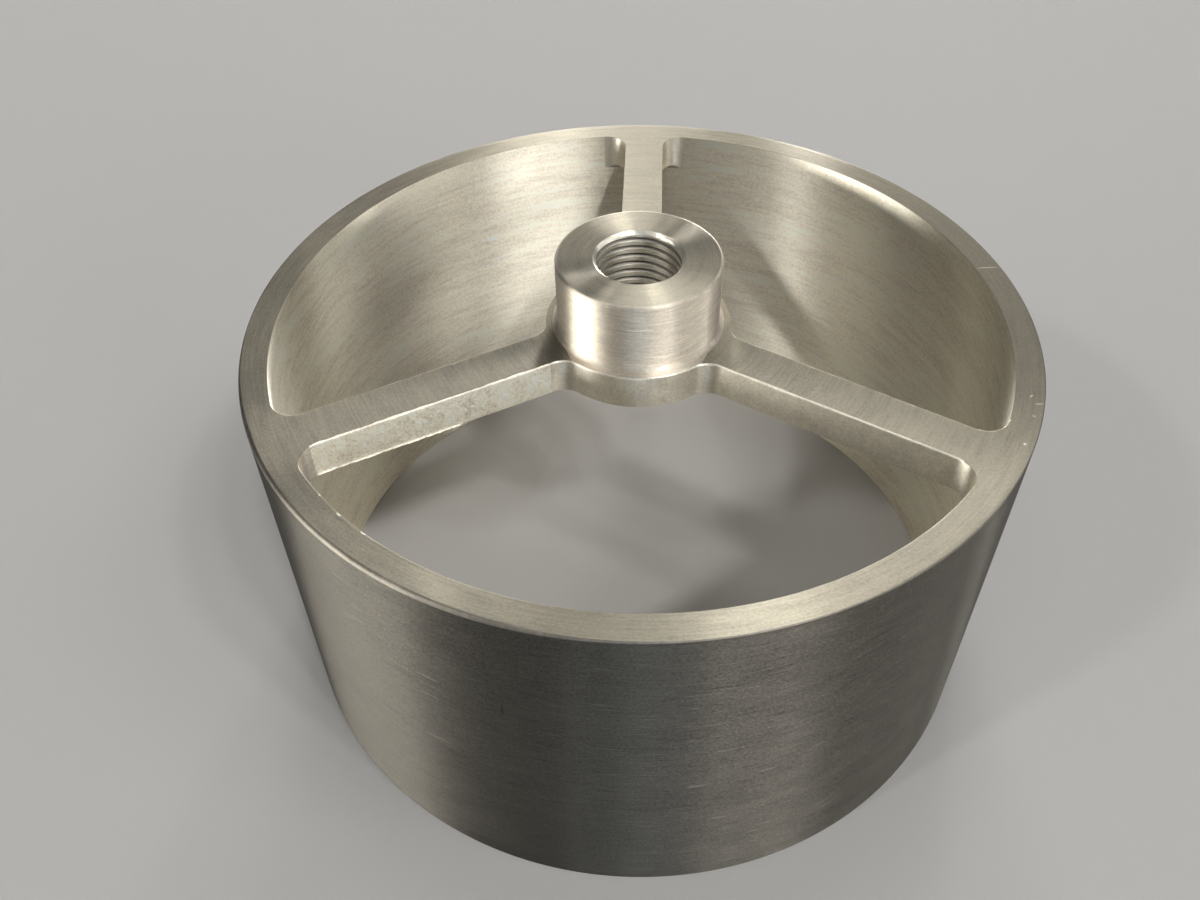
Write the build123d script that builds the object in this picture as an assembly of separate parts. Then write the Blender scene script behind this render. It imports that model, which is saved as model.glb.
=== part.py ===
"""Spoked ring with a threaded hub, turned and milled from one piece of bar, in millimetres.

A thin-walled ring stands on its open end. A web closes its upper end, and windows milled through
the web leave spokes that carry a round hub. A collar stands on the hub, and one tapped hole runs
down through collar and hub. The frame's origin is on the ring's axis in the plane of the open
end, +Z points up through the collar, and +Y runs along the first spoke.
"""

import os
from build123d import *

# Ring
ring_diameter = 107.95
ring_wall = 3.7
ring_height = 56.2
ring_edge_break = 0.4
bore_edge_break = 0.3
bore_corner_radius = 0.8

# Web: the spokes, the hub and the windows between them
web_thickness = 5.1
hub_ledge = 1.55
spoke_count = 3
spoke_width = 6.2
first_spoke_angle = 90.0
window_corner_radius = 3.2
window_land = 0.15
window_edge_break = 0.25

# Collar on the hub
collar_diameter = 22.3
collar_height = 10.15
collar_root_radius = 0.8
collar_edge_break = 0.35

# Tapped hole, cut at the thread's crests
thread_crest_diameter = 11.4
thread_mouth_chamfer = 0.43

# Radii and levels that follow from the sizes above
ring_radius = ring_diameter / 2
bore_radius = ring_radius - ring_wall
window_radius = bore_radius - window_land
collar_radius = collar_diameter / 2
hub_radius = collar_radius + hub_ledge
thread_radius = thread_crest_diameter / 2
web_underside = ring_height - web_thickness
collar_top = ring_height + collar_height


def corner(section, radius, height):
    """The corner of the turned section that lies at this radius and height."""
    return section.vertices().sort_by_distance((radius, height))[0]


def turned_section():
    """Half section of the lathe work: the ring, the web across its top, the collar and the hole."""
    with BuildSketch(Plane.XZ) as section:
        with BuildLine():
            Polyline(
                (thread_radius, web_underside),
                (bore_radius, web_underside),
                (bore_radius, 0),
                (ring_radius, 0),
                (ring_radius, ring_height),
                (collar_radius, ring_height),
                (collar_radius, collar_top),
                (thread_radius, collar_top),
                close=True,
            )
        make_face()
        fillet(corner(section, bore_radius, web_underside), bore_corner_radius)
        fillet(corner(section, collar_radius, ring_height), collar_root_radius)
        chamfer(corner(section, bore_radius, 0), bore_edge_break)
        chamfer(corner(section, ring_radius, 0), ring_edge_break)
        chamfer(corner(section, ring_radius, ring_height), ring_edge_break)
        chamfer(corner(section, collar_radius, collar_top), collar_edge_break)
        chamfer(corner(section, thread_radius, collar_top), thread_mouth_chamfer)
        chamfer(corner(section, thread_radius, web_underside), thread_mouth_chamfer)
    return section.sketch


def window_outlines():
    """The windows in plan: what is left of a disc by the hub and the spokes, with round corners."""
    with BuildSketch(Plane.XY.offset(ring_height)) as windows:
        Circle(window_radius)
        Circle(hub_radius, mode=Mode.SUBTRACT)
        with PolarLocations(0, spoke_count, start_angle=first_spoke_angle):
            Rectangle(ring_radius, spoke_width, align=(Align.MIN, Align.CENTER), mode=Mode.SUBTRACT)
        fillet(windows.vertices(), window_corner_radius)
    return windows.sketch


with BuildPart() as spoked_ring:
    add(turned_section())
    revolve(axis=Axis.Z)
    # The cutter goes on past the web, through the radius that the boring tool left under it.
    add(window_outlines())
    extrude(amount=-(web_thickness + bore_corner_radius), mode=Mode.SUBTRACT)
    window_rims = edges(Select.LAST).filter_by_position(Axis.Z, ring_height, ring_height)
    chamfer(window_rims, window_edge_break)

os.makedirs("parts", exist_ok=True)
export_step(spoked_ring.part, "parts/spoked_ring.step")
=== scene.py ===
import math

import bmesh
import bpy
import numpy as np
from mathutils import Matrix


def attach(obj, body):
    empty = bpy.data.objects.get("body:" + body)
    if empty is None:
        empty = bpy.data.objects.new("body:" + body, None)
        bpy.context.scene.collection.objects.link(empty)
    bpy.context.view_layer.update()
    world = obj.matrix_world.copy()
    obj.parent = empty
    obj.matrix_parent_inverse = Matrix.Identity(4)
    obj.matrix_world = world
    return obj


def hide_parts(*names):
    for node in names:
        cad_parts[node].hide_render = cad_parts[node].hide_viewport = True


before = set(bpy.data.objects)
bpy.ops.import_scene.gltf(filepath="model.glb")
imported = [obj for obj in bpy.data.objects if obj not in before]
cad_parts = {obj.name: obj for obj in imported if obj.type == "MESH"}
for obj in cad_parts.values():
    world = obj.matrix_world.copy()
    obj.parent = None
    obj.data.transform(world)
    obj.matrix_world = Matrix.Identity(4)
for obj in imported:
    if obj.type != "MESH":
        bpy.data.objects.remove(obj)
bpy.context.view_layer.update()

# ---------------------------------------------------------------------------
# Ring wall: the outside, the open end and the bore of the ring.
# Bar steel with a warm nickel grey colour, turned on the outside, bored out
# from the open end, and its edges broken with a file while it still spins.
# ---------------------------------------------------------------------------
# The part's sizes are in millimetres. The ring's radius is a hair less than
# the solid's 53.975, so that the skin stays inside the solid's box. The rim's
# land ends at a circle just inside its outer break.
RING_RADIUS = 53.955
BORE_RADIUS = 50.2
RING_TOP = 56.2
RIM_LAND = 53.3
RIM_BREAK = 0.14
FILED_BREAK = 0.50
FOOT_BREAK = 0.4
BORE_BREAK = 0.3
WEB_UNDERSIDE = 51.1
BORE_ROOT = 0.8
SPOKE_HALF_WIDTH = 3.1
WINDOW_CORNER = 3.2

# the broad filing of the rim: its middle and its spread round the axis
FILED_MIDDLE = math.radians(228)
FILED_SPREAD = 0.62

# how finely the skin is divided, and how far from an edge a row of points
# holds the face beside it flat
WINDOW_ARC_STEPS = 68
CORNER_STEPS = 10
RIM_EDGE_STEPS = 5
BREAK_STEPS = 4
EDGE_HOLD = 0.04
RIM_HOLD = 0.1
OUTSIDE_LEVELS = (46, 34, 22, 10)
INSIDE_LEVELS = (10, 20, 30, 40)

# the metal's own colour; a millimetre and a micrometre in metres, and a metre
# in millimetres
NICKEL_GREY = (1.0, 0.945, 0.83)
MILLIMETRE = 0.001
MICROMETRE = 1e-6
METRE = 1000.0

# how steeply sparse marks and flaws rise from nought to one, the detail in
# the noise of marks and of sparse marks, and the shader's turn that spreads
# light across the marks
SPARSE_STEEPNESS = 14.0
FLAW_STEEPNESS = 3.0
MARK_DETAIL = 2.0
SPARSE_DETAIL = 1.0
ACROSS_MARKS = 0.25

skin_points, skin_faces, skin_finish = [], [], []
finishes = []


def wired(tree, kind, settings=None, **inputs):
    """A shader node with its settings made, and each named input either
    linked from a socket or set to a value. An input is named by its label,
    or by the letter i and its place in the list."""
    made = tree.nodes.new(kind)
    for name, value in (settings or {}).items():
        setattr(made, name, value)
    for name, value in inputs.items():
        place = name[1:]
        slot = made.inputs[int(place) if place.isdigit() else name.replace("_", " ")]
        if isinstance(value, bpy.types.NodeSocket):
            tree.links.new(value, slot)
        else:
            slot.default_value = value
    return made


def maths(tree, operation, a, b=0.0, c=0.0):
    """One step of arithmetic on node values."""
    return wired(tree, "ShaderNodeMath", {"operation": operation}, i0=a, i1=b, i2=c).outputs[0]


def clamped_line(tree, value, slope, start):
    """Slope times value plus start, kept between nought and one."""
    return wired(tree, "ShaderNodeMath", {"operation": "MULTIPLY_ADD", "use_clamp": True},
                 i0=value, i1=slope, i2=start).outputs[0]


def vector(tree, operation, a, b=(0.0, 0.0, 0.0)):
    """One step of arithmetic on node vectors."""
    return wired(tree, "ShaderNodeVectorMath", {"operation": operation}, i0=a, i1=b).outputs[0]


def length_of(tree, arrow):
    """The length of a node vector."""
    return wired(tree, "ShaderNodeVectorMath", {"operation": "LENGTH"}, i0=arrow).outputs["Value"]


def added_up(tree, terms):
    """The sum of (value, amount) pairs, each value taken about its middle of
    one half, so an amount of 0.1 moves the sum by up to 0.1 either way."""
    total = 0.0
    for value, amount in terms:
        centred = maths(tree, "SUBTRACT", value, 0.5)
        total = maths(tree, "MULTIPLY_ADD", centred, 2 * amount, total)
    return total


def above(tree, value, edge):
    """Nought up to the edge, then rising steeply to one."""
    return clamped_line(tree, value, SPARSE_STEEPNESS, -SPARSE_STEEPNESS * edge)


def flaw(tree, place, middle, turn, size):
    """One in the heart of a small ellipsoid, fading to nought at its surface,
    for a scratch, a scuff, or a nick or speck with a painted glint: its middle
    and its three half sizes in millimetres, and its turn round the axis in degrees."""
    local = wired(tree, "ShaderNodeMapping", {"vector_type": "TEXTURE"}, Vector=place,
                  Location=tuple(MILLIMETRE * c for c in middle),
                  Rotation=(0, 0, math.radians(turn)),
                  Scale=tuple(MILLIMETRE * c for c in size)).outputs[0]
    return clamped_line(tree, length_of(tree, local), -FLAW_STEEPNESS, FLAW_STEEPNESS)


def lathe_frame(tree):
    """Coordinates of a turned surface: the place, its part square to the
    axis, the distance along the cut, which is radius plus height, and the way
    the tool marks run, which is the axis crossed with the place."""
    place = wired(tree, "ShaderNodeTexCoord").outputs["Object"]
    level = vector(tree, "MULTIPLY", place, (1, 1, 0))
    height = wired(tree, "ShaderNodeSeparateXYZ", Vector=place).outputs["Z"]
    marks_way = vector(tree, "CROSS_PRODUCT", (0, 0, 1), level)
    return place, level, maths(tree, "ADD", length_of(tree, level), height), marks_way


def drawn_marks(tree, level, cut, width, length, detail=MARK_DETAIL):
    """Noise drawn out round the axis into marks of a width across the cut and
    a length along it, both in millimetres."""
    step = maths(tree, "MULTIPLY", cut, METRE / width)
    across = wired(tree, "ShaderNodeCombineXYZ", Z=step).outputs[0]
    along = vector(tree, "MULTIPLY", level, (METRE / length,) * 3)
    return wired(tree, "ShaderNodeTexNoise", Vector=vector(tree, "ADD", along, across),
                 Scale=1.0, Detail=detail).outputs["Fac"]


def mark_sums(tree, noises, amounts):
    """The shade, the unevenness and the height in metres that marks add up
    to. The amounts of each are its shade, its roughness and its height, the
    last in micrometres."""
    shades, roughs, heights = zip(*amounts)
    return (added_up(tree, zip(noises, shades)), added_up(tree, zip(noises, roughs)),
            added_up(tree, zip(noises, [height * MICROMETRE for height in heights])))


def new_metal(name):
    """An empty node material for one finish of the metal."""
    metal = bpy.data.materials.new(name)
    metal.use_nodes = True
    return metal


def finished(metal, brightness, roughness, anisotropy, shade, uneven, height, marks_way):
    """Sets the metal's own shader and gives the finish its number in the
    skin. The colour is nickel grey times brightness, which may be one number
    or three, times one plus the shade. The roughness has the unevenness
    added, the bump is the height in metres, and light spreads across the way
    of the marks."""
    tree = metal.node_tree
    shader = tree.nodes["Principled BSDF"]
    shader.inputs["Metallic"].default_value = 1.0
    shader.inputs["Anisotropic"].default_value = anisotropy
    shader.inputs["Anisotropic Rotation"].default_value = ACROSS_MARKS
    grey = tuple(np.multiply(brightness, NICKEL_GREY))
    colour = wired(tree, "ShaderNodeVectorMath", {"operation": "SCALE"}, i0=grey,
                   Scale=maths(tree, "ADD", shade, 1.0)).outputs[0]
    bump = wired(tree, "ShaderNodeBump", Height=height, Distance=1.0, Strength=1.0).outputs[0]
    tree.links.new(colour, shader.inputs["Base Color"])
    tree.links.new(maths(tree, "ADD", uneven, roughness), shader.inputs["Roughness"])
    tree.links.new(bump, shader.inputs["Normal"])
    tree.links.new(marks_way, shader.inputs["Tangent"])
    finishes.append(metal)
    return len(finishes) - 1


def lathe_finish(name, brightness, roughness, anisotropy, marks, dashes=(), flaws=()):
    """Metal marked round the axis. Each of the marks is a width and a length
    in millimetres, and how much it moves the shade, the roughness and the
    surface, the last in micrometres. Dashes are sparse marks: a width, a
    length, how rare, and a shade. Flaws are a middle, a turn, a size and a
    shade. Light spreads across the marks."""
    metal = new_metal(name)
    tree = metal.node_tree
    place, level, cut, marks_way = lathe_frame(tree)
    noises = [drawn_marks(tree, level, cut, width, length) for width, length, *_ in marks]
    shade, uneven, height = mark_sums(tree, noises, [amounts for _, _, *amounts in marks])
    for width, length, edge, amount in dashes:
        dash = above(tree, drawn_marks(tree, level, cut, width, length, SPARSE_DETAIL), edge)
        shade = maths(tree, "MULTIPLY_ADD", dash, amount, shade)
    for middle, turn, size, amount in flaws:
        shade = maths(tree, "MULTIPLY_ADD", flaw(tree, place, middle, turn, size), amount, shade)
    return finished(metal, brightness, roughness, anisotropy, shade, uneven, height, marks_way)


def quarter_round(start, corner, end, steps):
    """Points from start to end round a corner: start + (corner - start) sin t
    + (end - corner) (1 - cos t), for t from 0 to 90 degrees."""
    t = np.linspace(0.0, np.pi / 2, steps + 1)[:, None]
    start, corner, end = np.array([start, corner, end], float)
    return start + (corner - start) * np.sin(t) + (end - corner) * (1 - np.cos(t))


def turned(profile, angles):
    """Grid point (i, j) is profile point i, a radius and a height, carried
    round the axis to angle j. A profile with a column for each angle may
    change on its way round."""
    radius, height = np.moveaxis(np.asarray(profile, float), -1, 0)
    if radius.ndim == 1:
        radius, height = radius[:, None], height[:, None]
    return np.stack([radius * np.cos(angles), radius * np.sin(angles), height + 0 * angles],
                    axis=-1)


def lay_skin(points, finish, round_loop=True):
    """Adds a grid of surface points to the skin: quad (i, j) joins rows i and
    i + 1 between columns j and j + 1, and the last column meets the first."""
    rows, columns = points.shape[:2]
    first = sum(len(p) for p in skin_points)
    index = first + np.arange(rows * columns).reshape(rows, columns)
    if round_loop:
        index = np.concatenate([index, index[:, :1]], axis=1)
    quads = np.stack([index[:-1, :-1], index[:-1, 1:], index[1:, 1:], index[1:, :-1]], axis=-1)
    skin_points.append(points.reshape(-1, 3))
    skin_faces.append(quads.reshape(-1, 4))
    skin_finish.append(np.broadcast_to(finish, quads.shape[:2]).reshape(-1))


# four short scuffs along the turning marks and one upright scratch
outside_scuffs = [
    ((-23.6, -48.5, 40.3), -26, (1.9, 0.4, 0.13), 0.9),
    ((-23.8, -48.4, 36.3), -26, (1.5, 0.4, 0.10), 0.8),
    ((-24.4, -48.1, 26.2), -27, (1.7, 0.4, 0.12), 0.8),
    ((8.4, -53.3, 25.3), 9, (1.3, 0.4, 0.12), 0.8),
    ((-14.4, -52.0, 39.4), -15, (0.14, 0.4, 1.5), -0.45)]

# three specks in the bore, their light colour a painted glint
bore_specks = [
    ((-48.7, 12.3, 43.9), 0, (0.5, 0.35, 0.35), 0.9),
    ((-47.0, 17.6, 28.1), 0, (0.5, 0.35, 0.35), 0.9),
    ((-50.2, -2.0, 40.2), 0, (0.5, 0.35, 0.35), 0.9)]

# three short lines and three specks on the rim, then three nicks where a window's
# edge was knocked, each coloured far lighter than the rim as a painted glint
rim_nicks = [
    ((50.3, 13.3, 56.2), 6, (1.9, 0.13, 0.3), 1.3),
    ((50.16, -14.44, 56.2), 40, (0.36, 0.16, 0.2), 1.6),
    ((50.8, -15.92, 56.2), 3, (0.65, 0.14, 0.2), 1.0),
    ((47.36, -23.21, 56.2), 0, (0.24, 0.24, 0.2), 1.5),
    ((46.4, -19.0, 56.1), 0, (0.28, 0.28, 0.3), 1.5),
    ((49.6, -18.2, 56.2), 0, (0.30, 0.30, 0.2), 0.5),
    ((-36.5, -34.5, 56.15), -47, (0.30, 0.16, 0.3), 1.2),
    ((-33.6, -37.45, 56.15), -42, (0.45, 0.22, 0.3), 1.6),
    ((-30.2, -40.1, 56.15), -37, (0.50, 0.26, 0.3), 1.9)]

# The outer wall's colour is made very dark, far darker than the metal of the other faces: painted
# shade that stands in for dark surroundings reflected in the wall.
turned_outside = lathe_finish(
    "turned_outside", 0.120, 0.50, 1.0,
    [(0.26, 0.35, 0.60, 0.05, 3.0), (0.25, 4.0, 0.24, 0.03, 3.0), (0.8, 9.0, 0.14, 0.03, 3.0),
     (3.5, 8.0, 0.18, 0.05, 0.0), (9.0, 50.0, 0.10, 0.02, 0.0)],
    dashes=[(0.22, 6.0, 0.66, -0.28), (0.20, 5.0, 0.68, 0.45)],
    flaws=outside_scuffs)
# The bore's colour is near white, lighter than the metal of the other faces: painted light on the
# inside wall.
bored_inside = lathe_finish(
    "bored_inside", (0.970, 0.965, 0.943), 0.50, 1.0,
    [(0.35, 0.45, 0.26, 0.04, 4.0), (0.5, 5.0, 0.20, 0.04, 4.0), (1.8, 18.0, 0.14, 0.05, 4.0),
     (7.0, 22.0, 0.14, 0.05, 0.0)],
    dashes=[(0.30, 5.0, 0.68, 0.35)],
    flaws=bore_specks)
faced_end = lathe_finish(
    "faced_end", 0.45, 0.45, 0.9,
    [(0.25, 9.0, 0.14, 0.03, 3.0), (1.2, 25.0, 0.10, 0.03, 4.0)])
# The filed edge is coloured darker than the rim's top: painted shade that dims the highlight
# along the rim's outer edge.
filed_edge = lathe_finish(
    "filed_edge", (0.26, 0.255, 0.25), 0.50, 0.8,
    [(0.3, 0.6, 0.30, 0.05, 4.0), (1.5, 4.0, 0.30, 0.05, 3.0)])
faced_top = lathe_finish(
    "faced_top", (0.465, 0.456, 0.417), 0.46, 1.0,
    [(0.30, 0.4, 0.28, 0.05, 4.0), (0.26, 7.0, 0.24, 0.05, 4.0), (1.2, 5.0, 0.22, 0.05, 3.0),
     (6.0, 16.0, 0.14, 0.03, 0.0)],
    flaws=rim_nicks)

# where a window's corner leaves the bore, seen from the middle of the window,
# and the columns of points round the ring, which are closer at the corners
window_middles = np.radians([30.0, 150.0, 270.0])
half_way = math.pi / 3
corner_side = SPOKE_HALF_WIDTH + WINDOW_CORNER
corner_reach = math.sqrt((BORE_RADIUS - WINDOW_CORNER) ** 2 - corner_side ** 2)
corner_angle = half_way - math.atan2(corner_side, corner_reach)
half_columns = np.concatenate([np.linspace(0, corner_angle, WINDOW_ARC_STEPS + 1),
                               np.linspace(corner_angle, half_way, CORNER_STEPS + 1)[1:]])
window_columns = np.concatenate([-half_columns[:0:-1], half_columns[:-1]])
ring_columns = (window_middles[:, None] + window_columns).ravel()

# the rim's outer edge is filed broader on one side than on the other
off_filing = np.angle(np.exp(1j * (ring_columns - FILED_MIDDLE)))
filed = np.exp(-(off_filing / FILED_SPREAD) ** 4)
rim_break = RIM_BREAK + (FILED_BREAK - RIM_BREAK) * filed
rounding = np.linspace(0, math.pi / 2, RIM_EDGE_STEPS + 1)[:, None]
rim_profile = np.stack([RING_RADIUS - rim_break * (1 - np.sin(rounding)),
                        RING_TOP - rim_break * (1 - np.cos(rounding))], axis=-1)
rim_edge = turned(rim_profile, ring_columns)

foot_radius = RING_RADIUS - FOOT_BREAK
bore_mouth = BORE_RADIUS + BORE_BREAK
outside = np.concatenate([
    [[RING_RADIUS, z] for z in (RING_TOP - FILED_BREAK - RIM_HOLD, *OUTSIDE_LEVELS,
                                FOOT_BREAK + EDGE_HOLD)],
    quarter_round((RING_RADIUS, FOOT_BREAK), (RING_RADIUS, 0), (foot_radius, 0), BREAK_STEPS)])
open_end = np.array([[foot_radius, 0], [foot_radius - EDGE_HOLD, 0], [bore_mouth + EDGE_HOLD, 0],
                     [bore_mouth, 0]])
inside = np.concatenate([
    quarter_round((bore_mouth, 0), (BORE_RADIUS, 0), (BORE_RADIUS, BORE_BREAK), BREAK_STEPS),
    [[BORE_RADIUS, z] for z in (BORE_BREAK + EDGE_HOLD, *INSIDE_LEVELS,
                                WEB_UNDERSIDE - BORE_ROOT)]])

lay_skin(np.concatenate([turned([[RIM_LAND, RING_TOP]], ring_columns), rim_edge[:1]]), faced_top)
lay_skin(rim_edge, filed_edge)
lay_skin(np.concatenate([rim_edge[-1:], turned(outside, ring_columns)]), turned_outside)
lay_skin(turned(open_end, ring_columns), faced_end)
lay_skin(turned(inside, ring_columns), bored_inside)

# ---------------------------------------------------------------------------
# Web: three spokes and the hub disc, left standing when three windows are
# milled through the closed end. The top is faced flat across rim and spokes,
# and the windows' edges keep a small uneven break from the deburring.
# ---------------------------------------------------------------------------
HUB_RADIUS = 12.7
COLLAR_RADIUS = 11.15
COLLAR_ROOT = 0.7
MOUTH_RADIUS = 6.126
LOWER_BREAK = 0.08

# The last window's spoke sides have a broader break, up to where its corners
# turn into the rim. A worn cutter left one of them rough, with a burr below.
LAST_WINDOW = 2
CORNER_ZONE = 2.5
BROAD_BREAK = 0.22
FINE_BREAK = 0.05
BREAK_LIMITS = (0.03, 0.36)

# How the break wanders, as a share of its width: slowly and quickly, on a
# rough side and elsewhere, over a number of outline points. Nicks are the
# peaks of a third run.
ROUGH_SLOW, PLAIN_SLOW, SLOW_POINTS, SLOW_SEED = 0.22, 0.08, 4, 11
ROUGH_QUICK, PLAIN_QUICK, QUICK_POINTS, QUICK_SEED = 0.20, 0.05, 1, 21
NICK_DEPTH, NICK_RARITY, NICK_POINTS, NICK_SEED = 0.14, 2, 0.8, 31

# The burr: how far it stands out and up, how it wanders, the radius where it
# starts and fades in, and the curled lump at its start.
BURR_WIDTH = 0.17
BURR_HEIGHT = 0.38
BURR_LIMITS = (0.4, 1.7)
BURR_SLOW, BURR_SLOW_POINTS, BURR_SLOW_SEED = 0.10, 3, 41
BURR_QUICK, BURR_QUICK_POINTS, BURR_QUICK_SEED = 0.22, 0.6, 42
BURR_START = 28.6
BURR_FADE = 0.6
CURL_WIDTH = 0.22
CURL_LENGTH = 0.3

# How finely the web is divided. The rows of a window's wall are shares of
# the burr's height and of the height left above it, then rows round the
# break.
SPOKE_STEPS = 120
HUB_CORNER_STEPS = 16
HUB_ARC_STEPS = 18
LAND_STEPS = 7
LAND_HOLD = 0.012
BURR_ROWS = (0, 0.3, 0.65, 1)
WALL_ROWS = (0.3, 0.65, 0.99)
BREAK_ROWS = 5

# how near the hub's disc a window's land takes the collar's brighter colour, as
# painted light, and how near the bore's wall an outline point counts as on it
HUB_EDGE = 0.35
ON_BORE = 1e-6


def direction(angle):
    """The unit vector at an angle in the plane of the web."""
    return np.stack([np.cos(angle), np.sin(angle)], axis=-1)


# seen from the middle of a window: along the spoke beside it, and from the
# spoke's middle line towards the window
spoke_along = direction(math.radians(60))
spoke_aside = direction(math.radians(-30))
INTO_SPOKE = math.radians(150)
hub_reach = math.sqrt((HUB_RADIUS + WINDOW_CORNER) ** 2 - corner_side ** 2)
half_hub = HUB_CORNER_STEPS // 2


def half_window():
    """Half of a window's outline, from the middle of its rim arc round to the
    middle of its hub arc: arc of the bore, corner, straight spoke side,
    corner, arc of the hub. Gives each point and its direction into the metal."""
    offset = corner_side * spoke_aside
    hub_angle = half_way - math.atan2(corner_side, hub_reach)

    rim_way = direction(half_columns[:WINDOW_ARC_STEPS])
    rim_arc = BORE_RADIUS * rim_way
    corner_way = direction(np.linspace(corner_angle, INTO_SPOKE, 2 * CORNER_STEPS + 1)[:-1])
    rim_corner = corner_reach * spoke_along + offset + WINDOW_CORNER * corner_way
    reach = np.linspace(corner_reach, hub_reach, SPOKE_STEPS + 1)[:-1, None]
    side = reach * spoke_along + SPOKE_HALF_WIDTH * spoke_aside
    side_way = np.broadcast_to(-spoke_aside, side.shape)
    turn_way = direction(np.linspace(INTO_SPOKE, hub_angle + math.pi, HUB_CORNER_STEPS + 1)[:-1])
    hub_corner = hub_reach * spoke_along + offset + WINDOW_CORNER * turn_way
    hub_way = -direction(np.linspace(hub_angle, 0, HUB_ARC_STEPS + 1))
    points = np.concatenate([rim_arc, rim_corner, side, hub_corner, -HUB_RADIUS * hub_way])
    ways = np.concatenate([rim_way, corner_way, side_way, turn_way, hub_way])
    return points, ways


def half_land(rim_radius, hub_radius):
    """The line that the land beside half a window runs out to: the rim's
    circle, the middle line of the spoke, then the hub's circle, with one
    point for each point of the window's outline."""
    ease = np.linspace(0, 1, CORNER_STEPS + 1)[:-1, None] ** 2
    return np.concatenate([
        rim_radius * direction(half_columns[:-1]),
        (rim_radius + (corner_reach - rim_radius) * ease) * spoke_along,
        np.linspace(corner_reach, hub_reach, SPOKE_STEPS + 1)[:-1, None] * spoke_along,
        np.linspace(hub_reach, hub_radius, half_hub + 1)[:-1, None] * spoke_along,
        hub_radius * direction(np.linspace(half_way, 0, half_hub + HUB_ARC_STEPS + 1))])


def both_halves(half):
    """A closed outline from its upper half: the half, then its mirror image
    across the middle line, run backwards."""
    return np.concatenate([half, half[-2:0:-1] * [1, -1]])


def swung(outline, angle):
    """Plan points turned round the axis by an angle."""
    c, s = math.cos(angle), math.sin(angle)
    return outline @ np.array([[c, s], [-s, c]])


def ragged(count, coarse, seed):
    """A closed run of random heights: white noise averaged over a few
    neighbours, coarse points wide, scaled to a spread of one."""
    noise = np.random.default_rng(seed).standard_normal(count)
    reach = np.minimum(np.arange(count), count - np.arange(count))
    kernel = np.exp(-0.5 * (reach / coarse) ** 2)
    smooth = np.fft.irfft(np.fft.rfft(noise) * np.fft.rfft(kernel), count)
    return smooth / smooth.std()


def web_floor(plan):
    """Height of the web's underside: level, then down the quarter circle of
    the bore's root where the radius nears the bore."""
    radius = np.hypot(*np.moveaxis(plan, -1, 0))
    into_root = np.clip(radius - (BORE_RADIUS - BORE_ROOT), 0, BORE_ROOT)
    root = np.sqrt(np.maximum(BORE_ROOT ** 2 - into_root ** 2, 0))
    return WEB_UNDERSIDE - BORE_ROOT + root


def raised(plan, height):
    """Plan points given a height."""
    return np.concatenate([plan, np.broadcast_to(height, plan.shape[:-1])[..., None]], axis=-1)


def both_ends(marked):
    """True for a column of quads when the outline points at its two ends are
    marked."""
    return marked & np.roll(marked, -1)


def milled_finish(name, brightness, roughness, anisotropy, grains, flecks=()):
    """Metal with a grain that is the same every way. Each of the grains is a
    size in millimetres, and how much it moves the shade, the roughness and
    the surface, the last in micrometres. Flecks are a size, how rare, and a
    shade. Light spreads up and down, across the level way along the wall."""
    metal = new_metal(name)
    tree = metal.node_tree
    place = wired(tree, "ShaderNodeTexCoord").outputs["Object"]
    noises = [wired(tree, "ShaderNodeTexNoise", Vector=place, Scale=METRE / size,
                    Detail=MARK_DETAIL).outputs["Fac"] for size, *_ in grains]
    shade, uneven, height = mark_sums(tree, noises, [amounts for _, *amounts in grains])
    for size, edge, amount in flecks:
        fleck = wired(tree, "ShaderNodeTexNoise", Vector=place, Scale=METRE / size,
                      Detail=SPARSE_DETAIL).outputs["Fac"]
        shade = maths(tree, "MULTIPLY_ADD", above(tree, fleck, edge), amount, shade)
    outward = wired(tree, "ShaderNodeNewGeometry").outputs["Normal"]
    marks_way = vector(tree, "CROSS_PRODUCT", (0, 0, 1), outward)
    return finished(metal, brightness, roughness, anisotropy, shade, uneven, height, marks_way)


milled_fine = milled_finish(
    "milled_fine", (0.75, 0.75, 0.74), 0.44, 0.85,
    [(0.35, 0.26, 0.05, 6.0), (1.8, 0.14, 0.05, 0.0)])
# The rough wall is coloured full white and its flecks lighter still: painted light, with painted
# glints on the grain.
milled_rough = milled_finish(
    "milled_rough", (1.0, 1.0, 1.0), 0.72, 0.0,
    [(0.30, 0.30, 0.10, 45.0), (0.9, 0.18, 0.06, 70.0), (3.0, 0.18, 0.05, 0.0)],
    flecks=[(0.28, 0.62, 0.60), (0.50, 0.66, 0.35)])
turned_collar = lathe_finish(
    "turned_collar", (0.78, 0.76, 0.75), 0.55, 0.95,
    [(0.30, 0.4, 0.20, 0.04, 4.0), (0.30, 3.5, 0.22, 0.05, 4.0), (1.0, 6.0, 0.12, 0.05, 4.0)],
    dashes=[(0.30, 3.0, 0.66, 0.3)])

window_line, window_way = (both_halves(half) for half in half_window())
top_land = both_halves(half_land(RIM_LAND, COLLAR_RADIUS + COLLAR_ROOT))
under_land = both_halves(half_land(BORE_RADIUS, MOUTH_RADIUS))
outline_count = len(window_line)
outline_radius = np.hypot(*window_line.T)
on_arc = outline_radius > BORE_RADIUS - ON_BORE
second_spoke = np.arange(outline_count) > outline_count // 2 + HUB_ARC_STEPS + HUB_CORNER_STEPS
land_share = 1 - (1 - np.linspace(0, 1, LAND_STEPS + 1)) ** 2
lower_break = np.where(on_arc, 0, LOWER_BREAK)[:, None]

# the burr, at each point of an outline
burr_wander = (1 + BURR_SLOW * ragged(outline_count, BURR_SLOW_POINTS, BURR_SLOW_SEED)
               + BURR_QUICK * ragged(outline_count, BURR_QUICK_POINTS, BURR_QUICK_SEED))
past_start = outline_radius - BURR_START
fade_in = np.clip(past_start / BURR_FADE, 0, 1)
whole_burr = (BURR_WIDTH * np.clip(burr_wander, *BURR_LIMITS) * fade_in
              + CURL_WIDTH * np.exp(-(past_start / CURL_LENGTH) ** 2))

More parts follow.
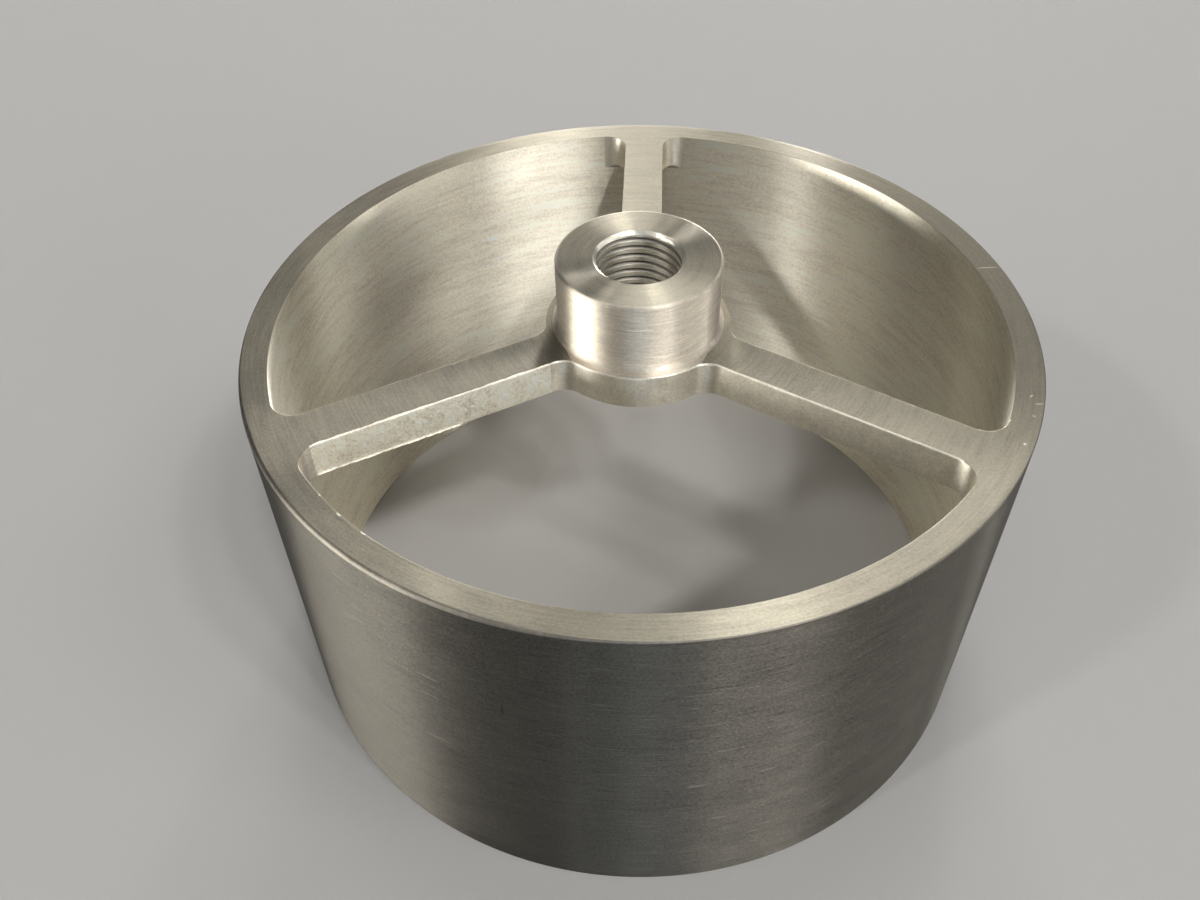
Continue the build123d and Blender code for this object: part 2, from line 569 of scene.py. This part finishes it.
for number, middle in enumerate(window_middles):
    line, way = swung(window_line, middle), swung(window_way, middle)
    last = number == LAST_WINDOW
    on_spoke = last & (outline_radius < BORE_RADIUS - CORNER_ZONE)
    rough_side = on_spoke & second_spoke
    slow = np.where(rough_side, ROUGH_SLOW, PLAIN_SLOW) * ragged(
        outline_count, SLOW_POINTS, SLOW_SEED + number)
    quick = np.where(rough_side, ROUGH_QUICK, PLAIN_QUICK) * ragged(
        outline_count, QUICK_POINTS, QUICK_SEED + number)
    nicks = NICK_DEPTH * np.clip(
        ragged(outline_count, NICK_POINTS, NICK_SEED + number) - NICK_RARITY, 0, 1)
    break_size = np.where(on_spoke, BROAD_BREAK, FINE_BREAK) * (1 + slow + quick)
    break_size = np.clip(break_size + np.where(on_spoke, 0, nicks), *BREAK_LIMITS)[:, None]
    burr = np.where(rough_side, whole_burr, 0)[:, None]

    # the faced land round the window; by the hub, on the last window only, it
    # takes the collar's brighter colour: painted light on the land
    t = np.concatenate([[0, LAND_HOLD], land_share[1:]])[:, None, None]
    inner, outer = line + break_size * way, swung(top_land, middle)
    painted_lit_land = last & (outline_radius < HUB_RADIUS + HUB_EDGE)
    lay_skin(raised(inner + t * (outer - inner), RING_TOP),
             np.where(both_ends(painted_lit_land), turned_collar, faced_top))

    # the window's wall, from its lower edge up past the burr and round the
    # top break
    low = line + (lower_break - burr) * way
    foot, head = web_floor(line) + lower_break[:, 0], RING_TOP - break_size[:, 0]
    wall = [raised(low, web_floor(low))]
    wall += [raised(line - (1 - share) ** 3 * burr * way, foot + share * BURR_HEIGHT)
             for share in BURR_ROWS]
    wall += [raised(line, foot + BURR_HEIGHT + share * (head - foot - BURR_HEIGHT))
             for share in WALL_ROWS]
    wall += [raised(line + break_size * way * (1 - math.cos(b)),
                    head + break_size[:, 0] * math.sin(b))
             for b in np.linspace(0, math.pi / 2, BREAK_ROWS)]
    wall_finish = np.where(rough_side, milled_rough, milled_fine)
    wall_finish = np.where(both_ends(on_arc), bored_inside, wall_finish)
    break_finish = np.where(on_spoke, wall_finish, faced_top)
    below_break = (np.arange(len(wall) - 1) < len(wall) - BREAK_ROWS)[:, None]
    lay_skin(np.stack(wall), np.where(below_break, wall_finish, break_finish))

    # the underside round the window, out to the bore's root and the hole
    bare = np.flatnonzero(~on_arc)
    run = np.concatenate([[bare[0] - 1], bare, [bare[-1] + 1]]) % outline_count
    inner, outer = low[run], swung(under_land, middle)[run]
    plan = inner + land_share[:, None, None] * (outer - inner)
    lay_skin(raised(plan, web_floor(plan)), faced_end, round_loop=False)

# ---------------------------------------------------------------------------
# Hub collar: a plain boss above the web, turned in the same bar, with a
# small radius at its root, a broken top edge and a faced top.
# ---------------------------------------------------------------------------
COLLAR_TOP = 66.35
COLLAR_BREAK = 0.35

# how finely the collar is divided, with rows up its side and across its face
ROOT_ROUND_STEPS = 6
TOP_ROUND_STEPS = 5
COLLAR_LEVELS = (56.95, 60, 63)
COLLAR_RINGS = (9, 7.5)

hub_count = 3 * 2 * (half_hub + HUB_ARC_STEPS)
collar_columns = math.pi / 2 + np.linspace(0, 2 * math.pi, hub_count + 1)[:-1]
face_radius = COLLAR_RADIUS - COLLAR_BREAK
side_top = COLLAR_TOP - COLLAR_BREAK
collar_side = np.concatenate([
    quarter_round((COLLAR_RADIUS + COLLAR_ROOT, RING_TOP), (COLLAR_RADIUS, RING_TOP),
                  (COLLAR_RADIUS, RING_TOP + COLLAR_ROOT), ROOT_ROUND_STEPS),
    [[COLLAR_RADIUS, z] for z in (*COLLAR_LEVELS, side_top - EDGE_HOLD)],
    quarter_round((COLLAR_RADIUS, side_top), (COLLAR_RADIUS, COLLAR_TOP),
                  (face_radius, COLLAR_TOP), TOP_ROUND_STEPS)])
collar_face = np.array([[r, COLLAR_TOP] for r in (
    face_radius, face_radius - EDGE_HOLD, *COLLAR_RINGS, MOUTH_RADIUS + EDGE_HOLD, MOUTH_RADIUS)])
lay_skin(turned(collar_side, collar_columns), turned_collar)
lay_skin(turned(collar_face, collar_columns), faced_top)

# ---------------------------------------------------------------------------
# Threaded hole: tapped right through the hub, a right-hand thread of 1.27 mm
# pitch with flat crests, opened at both mouths by a small countersink.
# ---------------------------------------------------------------------------
PITCH = 1.27
CREST_RADIUS = 5.7
THREAD_DEPTH = 0.48
CREST_WIDTH = 0.66
FLANK_WIDTH = 0.25
FIRST_GROOVE_EDGE = 65.6
FIRST_GROOVE_ANGLE = math.radians(95.5)
# how far down from the top the grooves keep the crests' bright colour: painted light at the mouth
BRIGHT_MOUTH = 0.45

# One turn of the thread, as heights and depths: the crest with its worn
# edge, the flank, the root with its eased corners, the other flank, and the
# worn edge of the next crest.
CREST_QUADS = 3
root_start = CREST_WIDTH + FLANK_WIDTH
root_end = PITCH - FLANK_WIDTH
thread_form = np.array([
    [0.00, 0.00], [0.50 * CREST_WIDTH, 0.00], [CREST_WIDTH - 0.03, 0.00], [CREST_WIDTH, 0.012],
    [CREST_WIDTH + 0.03, 0.045], [CREST_WIDTH + 0.5 * FLANK_WIDTH, 0.5 * THREAD_DEPTH],
    [root_start - 0.02, THREAD_DEPTH - 0.035], [root_start + 0.03, THREAD_DEPTH],
    [root_end - 0.03, THREAD_DEPTH], [root_end + 0.02, THREAD_DEPTH - 0.035],
    [root_end + 0.5 * FLANK_WIDTH, 0.5 * THREAD_DEPTH], [PITCH - 0.03, 0.045],
    [PITCH - 0.005, 0.010]])


def tapped_hole(form, columns):
    """Grid of the thread: form point i of turn n stands at height
    start + n pitch + its own height + pitch angle / 360 degrees, so each row
    climbs one pitch a turn and runs on into the row one turn above. Beyond
    the mouths the points are held at the mouth's edge, and near them the
    radius is at least that of the countersink."""
    spare_below, spare_above = 2, 2
    turns = int((COLLAR_TOP - WEB_UNDERSIDE) / PITCH) + spare_below + spare_above
    up = np.concatenate([form[:, 0] + n * PITCH for n in range(turns)])
    depth = np.tile(form[:, 1], turns)
    lead = PITCH * (columns - columns[0]) / (2 * math.pi)
    first_lead = PITCH * (FIRST_GROOVE_ANGLE - columns[0]) / (2 * math.pi)
    phase = (FIRST_GROOVE_EDGE - first_lead) % PITCH
    start = WEB_UNDERSIDE - WEB_UNDERSIDE % PITCH + phase - spare_below * PITCH
    height = np.clip(start + up[:, None] + lead, WEB_UNDERSIDE, COLLAR_TOP)
    mouth = np.minimum(height - WEB_UNDERSIDE, COLLAR_TOP - height)
    radius = np.maximum(CREST_RADIUS + depth[:, None], MOUTH_RADIUS - mouth)
    radius = np.where(mouth <= 0, MOUTH_RADIUS, radius)
    return np.stack([radius * np.cos(columns), radius * np.sin(columns), height], axis=-1)


# The crests are coloured at full brightness and the grooves darkened: painted light and painted
# shade that draw the thread as bright lands between dark lines.
thread_crest = lathe_finish(
    "thread_crest", 1.0, 0.37, 0.85,
    [(0.25, 1.0, 0.20, 0.05, 3.0), (0.5, 2.0, 0.30, 0.05, 3.0)])
thread_groove = milled_finish("thread_groove", 0.40, 0.50, 0.0, [(0.25, 0.40, 0.05, 4.0)])

# one column more, so that each row runs on into the row one turn above
thread = tapped_hole(thread_form, collar_columns)
turn_rows = len(thread_form)
thread = np.concatenate([thread[:-turn_rows], thread[turn_rows:, :1]], axis=1)
quad_height = (thread[:-1, :-1, 2] + thread[1:, 1:, 2]) / 2
off_crest = (np.arange(len(thread) - 1) % turn_rows >= CREST_QUADS)[:, None]
in_groove = off_crest & (quad_height < COLLAR_TOP - BRIGHT_MOUTH)
lay_skin(thread, np.where(in_groove, thread_groove, thread_crest), round_loop=False)

# ---------------------------------------------------------------------------
# The part: ring, web, collar and hole are one solid piece of bar, so their
# surfaces are joined into one closed skin with a finish for each operation.
# ---------------------------------------------------------------------------
# the distance in metres under which two points are one, the least edge that
# is kept, and the angle past which an edge is sharp
ONE_POINT = 1.5e-6
LEAST_EDGE = 1e-7
SHARP_ANGLE = math.radians(32)

mesh = bpy.data.meshes.new("spoked_ring_turned")
mesh.from_pydata((np.concatenate(skin_points) * MILLIMETRE).tolist(), [],
                 np.concatenate(skin_faces).tolist())
mesh.polygons.foreach_set("material_index", np.concatenate(skin_finish).astype(np.int32))
mesh.update()
joined = bmesh.new()
joined.from_mesh(mesh)
bmesh.ops.remove_doubles(joined, verts=joined.verts, dist=ONE_POINT)
bmesh.ops.dissolve_degenerate(joined, edges=joined.edges, dist=LEAST_EDGE)
bmesh.ops.recalc_face_normals(joined, faces=joined.faces)
joined.to_mesh(mesh)
joined.free()
mesh.shade_smooth()
mesh.set_sharp_from_angle(angle=SHARP_ANGLE)
for finish in finishes:
    mesh.materials.append(finish)
spoked_ring = bpy.data.objects.new("spoked_ring_turned", mesh)
bpy.context.scene.collection.objects.link(spoked_ring)
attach(spoked_ring, "root")
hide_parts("spoked_ring")

# ---------------------------------------------------------------------------
# Stage: a plain pale floor with the part standing on it, soft lights far off
# all round, and the camera. From here on lengths are in metres.
# ---------------------------------------------------------------------------
FLOOR_PALE = (0.43, 0.425, 0.42, 1.0)
FLOOR_ROUGHNESS = 0.9
FLOOR_REACH = 4.0
floor_corners = FLOOR_REACH * np.array([[-1, -1, 0], [1, -1, 0], [1, 1, 0], [-1, 1, 0]])
floor_mesh = bpy.data.meshes.new("floor")
floor_mesh.from_pydata(floor_corners.tolist(), [], [[0, 1, 2, 3]])
floor = bpy.data.objects.new("floor", floor_mesh)
bpy.context.scene.collection.objects.link(floor)
floor_finish = bpy.data.materials.new("pale_floor")
floor_finish.use_nodes = True
floor_shader = floor_finish.node_tree.nodes["Principled BSDF"]
floor_shader.inputs["Base Color"].default_value = FLOOR_PALE
floor_shader.inputs["Roughness"].default_value = FLOOR_ROUGHNESS
floor_mesh.materials.append(floor_finish)

# Each light's azimuth, elevation and seen size in degrees, its power and its
# tint. The low ones rake the outer wall and hardly reach into the bore, and
# the high ones light the bore, the spokes and the collar.
NEUTRAL = (1.00, 0.98, 0.95)
WARM = (1.00, 0.97, 0.90)
COOL = (0.80, 0.90, 1.00)
SOFT_LIGHTS = [
    (78.4, 2, 5, 2.500, NEUTRAL),
    (93.4, 6, 15, 1.760, NEUTRAL),
    (198.4, 1.5, 6, 0.720, WARM),
    (190.9, 1.5, 6, 0.640, WARM),
    (213.4, 1.5, 6, 0.650, WARM),
    (205.9, 1.5, 6, 0.720, WARM),
    (299.4, 54, 4, 0.700, NEUTRAL),
    (183.4, 1.5, 6, 0.520, WARM),
    (323.4, 54, 4, 0.356, NEUTRAL),
    (273.4, 6, 15, 0.354, COOL),
    (93.4, 77, 15, 0.322, NEUTRAL),
    (3.4, 2, 5, 0.287, NEUTRAL),
    (311.4, 54, 4, 0.330, NEUTRAL),
    (343.4, 50, 15, 0.266, NEUTRAL),
    (348.4, 6, 15, 0.190, NEUTRAL),
    (228.4, 64, 15, 0.160, NEUTRAL),
    (213.4, 42, 4, 0.400, NEUTRAL),
    (78.4, 35, 15, 0.159, NEUTRAL),
    (323.4, 50, 15, 0.151, NEUTRAL),
    (288.4, 6, 15, 0.080, COOL),
    (333.4, 6, 15, 0.050, NEUTRAL),
    (258.4, 2, 5, 0.119, COOL),
    (25.9, 20, 15, 0.117, NEUTRAL),
    (310.9, 20, 15, 0.300, NEUTRAL),
    (340.9, 20, 15, 0.102, NEUTRAL),
    (83.4, 50, 15, 0.101, NEUTRAL),
    (228.4, 35, 15, 0.040, WARM),
    (355.9, 20, 15, 0.080, NEUTRAL),
    (10.9, 20, 15, 0.063, NEUTRAL),
    (63.4, 50, 15, 0.030, NEUTRAL),
    (33.4, 35, 15, 0.023, NEUTRAL),
]
LAMP_HEIGHT = 0.05
ROOM_COLOUR = (0.97, 0.98, 1.0, 1.0)
ROOM_STRENGTH = 0.08


def soft_light(name, azimuth, elevation, size, power, colour):
    """A broad far light on the part from an azimuth and elevation, with the
    size it is seen at, all in degrees."""
    lamp = bpy.data.lights.new(name, "SUN")
    lamp.angle = math.radians(size)
    lamp.energy = power
    lamp.color = colour
    a, e = math.radians(azimuth), math.radians(elevation)
    place = np.array([math.cos(a) * math.cos(e), math.sin(a) * math.cos(e), math.sin(e)])
    holder = bpy.data.objects.new(name, lamp)
    holder.location = place + [0, 0, LAMP_HEIGHT]
    holder.rotation_euler = (math.pi / 2 - e, 0, a + math.pi / 2)
    bpy.context.scene.collection.objects.link(holder)


for number, (azimuth, elevation, size, power, colour) in enumerate(SOFT_LIGHTS):
    soft_light(f"soft_light_{number + 1}", azimuth, elevation, size, power, colour)
room = bpy.data.worlds.new("room")
room.use_nodes = True
room.node_tree.nodes["Background"].inputs["Color"].default_value = ROOM_COLOUR
room.node_tree.nodes["Background"].inputs["Strength"].default_value = ROOM_STRENGTH
bpy.context.scene.world = room
bpy.context.scene.view_settings.view_transform = "Standard"

# the camera stands off a point in the middle of the part; the point and the
# distance are in ring radii, and the whole stand is turned about the axis
RADIUS_IN_METRES = 0.053975
LOOKED_AT = (-0.1034, 0, 0.5672)
STAND_OFF = 3.1135
LENS_TILT = math.radians(44.897)
LENS_ROLL = math.radians(1.0426)
STAND_TURN = math.radians(3.4)
LENS_LENGTH = 32.591
SENSOR_WIDTH = 36.0
NEAREST_SEEN = 0.01

back = np.array([0, -math.cos(LENS_TILT), math.sin(LENS_TILT)])
across = np.array([1.0, 0, 0])
down = np.cross(-back, across)
right = math.cos(LENS_ROLL) * across + math.sin(LENS_ROLL) * down
lower = -math.sin(LENS_ROLL) * across + math.cos(LENS_ROLL) * down
eye = np.array(LOOKED_AT) + STAND_OFF * back
c, s = math.cos(STAND_TURN), math.sin(STAND_TURN)
turn = np.array([[c, -s, 0], [s, c, 0], [0, 0, 1]])
stand = np.eye(4)
stand[:3, :3] = turn @ np.stack([right, -lower, back], axis=1)
stand[:3, 3] = turn @ eye * RADIUS_IN_METRES
camera = bpy.data.objects.new("camera", bpy.data.cameras.new("camera"))
camera.data.sensor_width = SENSOR_WIDTH
camera.data.lens = LENS_LENGTH
camera.data.clip_start = NEAREST_SEEN
camera.matrix_world = Matrix(stand.tolist())
bpy.context.scene.collection.objects.link(camera)
bpy.context.scene.camera = camera
